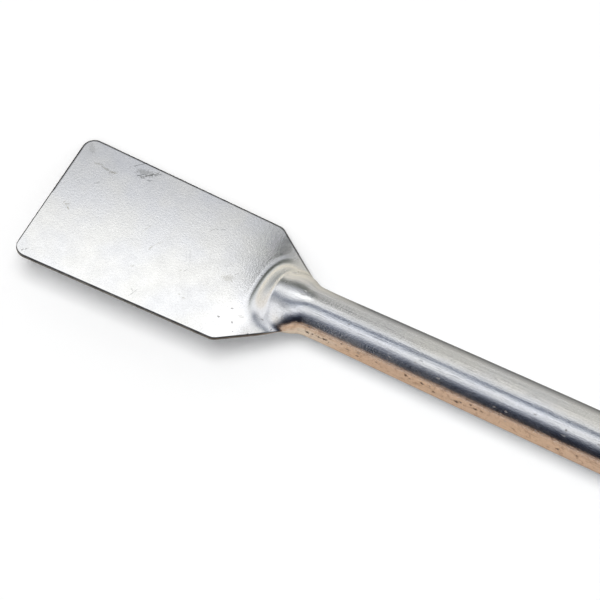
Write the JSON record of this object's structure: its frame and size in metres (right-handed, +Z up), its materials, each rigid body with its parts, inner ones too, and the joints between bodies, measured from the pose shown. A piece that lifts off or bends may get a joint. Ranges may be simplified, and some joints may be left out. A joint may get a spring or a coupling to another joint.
{
  "type": "lab spatula",
  "caption": "Steel laboratory spatula: a round bar handle forged into a thin, flat, square-cornered blade for scooping and spreading powders.",
  "frame": {"origin": "below the bar's axis, halfway along the tool, on the surface that it lies on", "axes": "+X along the bar from the blade's tip to the rear end, +Z up from the surface that the tool lies on, +Y toward the long edge of the blade that touches that surface"},
  "size_m": [0.18, 0.0134, 0.005],
  "materials": {
    "steel": "satin stainless steel, polished along the bar, with fine scratches and small pits"
  },
  "bodies": {
    "root": {"spatula": "steel"}
  },
  "joints": []
}
